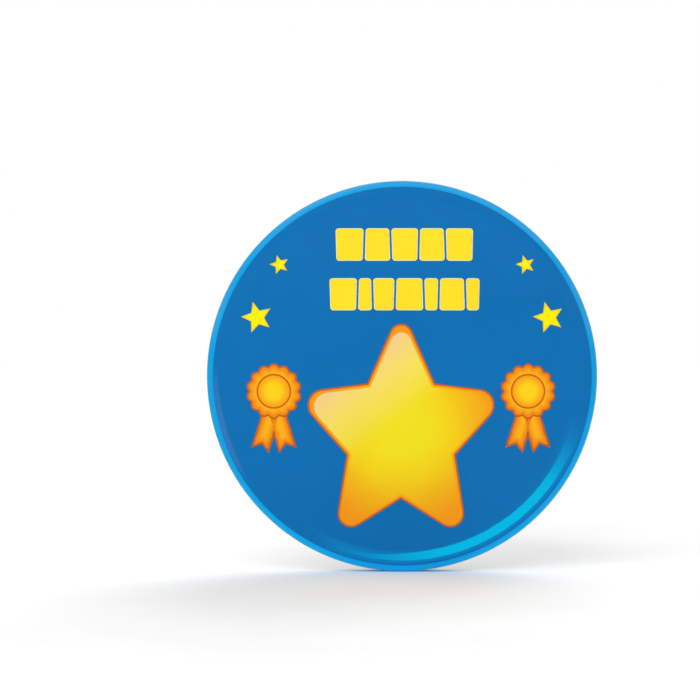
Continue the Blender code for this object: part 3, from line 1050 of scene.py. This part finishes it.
def build_world():
    """White to the eye and to the light, with a plain studio of soft patches for what the gloss mirrors."""
    world = bpy.data.worlds.new("studio")
    bpy.context.scene.world = world
    world.use_nodes = True
    n = Nodes(world.node_tree)
    coords = n.add("ShaderNodeTexCoord")
    d = coords.outputs["Generated"]
    behind = n.dot(d, (0.0, 1.0, 0.0))
    ahead = n.dot(d, (0.0, -1.0, 0.0))
    up = n.dot(d, (0.0, 0.0, 1.0))
    # Behind the badge: one soft source, so that flat metal facing it reads as pale grey.
    rear = n.step(behind, cos(radians(15)), cos(radians(7)), 0.0, 1.24)
    # A broad card low down on one side, a ceiling with a dark beam across it, and a small window.
    low = n.step(n.dot(d, (0.68, 0.68, -0.26)), cos(radians(25)), cos(radians(11)), 0.0, 0.8)
    beam = n.math("MULTIPLY", n.step(up, 0.36, 0.50), n.step(up, 0.60, 0.72, 0.7, 0.0))
    ceiling = n.math("MULTIPLY", n.step(up, 0.10, 0.28, 0.0, 0.34), n.math("SUBTRACT", 1.0, beam))
    window = n.step(n.dot(d, (-0.35, 0.35, 0.87)), 0.93, 0.97, 0.0, 0.7)
    glow = n.math("MAXIMUM", n.math("MAXIMUM", rear, low), n.math("MAXIMUM", ceiling, window))
    dim_front = n.step(ahead, 0.0, 0.5, 1.0, 0.12)
    grey = n.math("MULTIPLY", glow, dim_front)
    # In front: a pale card to the left, and a blue one at the lower right that the crescent mirrors.
    side = n.step(n.dot(d, (-0.80, -0.55, -0.24)), cos(radians(17)), cos(radians(9)), 0.0, 0.45)
    grey = n.math("MAXIMUM", grey, side)
    across = n.math("SQRT", n.math("SUBTRACT", 1.0, n.math("MULTIPLY", ahead, ahead), clamp=True))
    bearing = n.math("DIVIDE", n.dot(d, (0.42, 0.0, -0.907)), n.math("MAXIMUM", across, 0.01))
    card = n.math("MULTIPLY", n.step(ahead, cos(radians(64)), cos(radians(57))), n.step(ahead, 0.925, 0.905))
    card = n.math("MULTIPLY", card, n.step(bearing, 0.60, 0.76))
    # Everywhere else the room is a warm dark grey, and nearly black in front.
    shade = n.mix(dim_front, (0.0, 0.0, 0.0, 1.0), (0.058, 0.054, 0.045, 1.0))
    room = n.mix(1.0, grey, shade, "ADD")
    colour = n.mix(card, room, (0.0, 0.90, 1.33, 1.0))
    path = n.add("ShaderNodeLightPath")
    white = (1.0, 1.0, 1.0, 1.0)
    seen = n.mix_shader(path.outputs["Is Camera Ray"], n.background(white, SOFT_LIGHT), n.background(white))
    final = n.mix_shader(path.outputs["Is Glossy Ray"], seen, n.background(colour))
    out = n.add("ShaderNodeOutputWorld")
    world.node_tree.links.new(final, out.inputs["Surface"])


def sun_light(name, towards, strength, spread):
    data = bpy.data.lights.new(name, "SUN")
    data.energy = strength
    data.angle = radians(spread)
    light = bpy.data.objects.new(name, data)
    light.rotation_euler = Vector(towards).to_track_quat("-Z", "Y").to_euler()
    light.visible_glossy = False
    bpy.context.scene.collection.objects.link(light)


def build_lights():
    """A broad soft light for the face, one for the back, and a glow from the table, which casts no shadow.
    Only the studio patches of the world are mirrored."""
    sun_light("key", (0.32, 0.70, -0.64), 1.2, 50.0)
    sun_light("back_key", (-0.32, -0.70, -0.64), 1.25, 50.0)
    sun_light("table_glow", (0.0, 0.0, 1.0), 1.3, 60.0)


VIEW_WIDTH = 103.97  # what the picture spans at the badge's silhouette
VIEW_CENTRE = (-7.724, 3.862)
SILHOUETTE_Y = 0.77  # how far behind the badge's centre its silhouette lies


def build_camera():
    """Square on to the face, with the badge a little below and to the right of the middle."""
    data = bpy.data.cameras.new("camera")
    data.lens = 85.0
    data.sensor_width = 36.0
    data.clip_start = 0.01
    data.clip_end = 20.0
    camera = bpy.data.objects.new("camera", data)
    bpy.context.scene.collection.objects.link(camera)
    distance = VIEW_WIDTH * MM * data.lens / data.sensor_width
    camera.location = (VIEW_CENTRE[0] * MM, SILHOUETTE_Y * MM - distance, VIEW_CENTRE[1] * MM)
    camera.rotation_euler = (pi / 2, 0.0, 0.0)
    bpy.context.scene.camera = camera


# ---------------------------------------------------------------- build

build_face()
build_star()
build_small_stars()
build_blocks()
build_rosettes()
build_plate()
build_forms()
build_pin()

shell_tin = tin_material("shell_tinplate_detail", "c9c8c5", 0.30)
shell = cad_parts["front_shell"]
for material_slot in shell.material_slots:
    material_slot.material = shell_tin

build_floor()
build_world()
build_lights()
build_camera()

scene = bpy.context.scene
scene.view_settings.view_transform = "Standard"
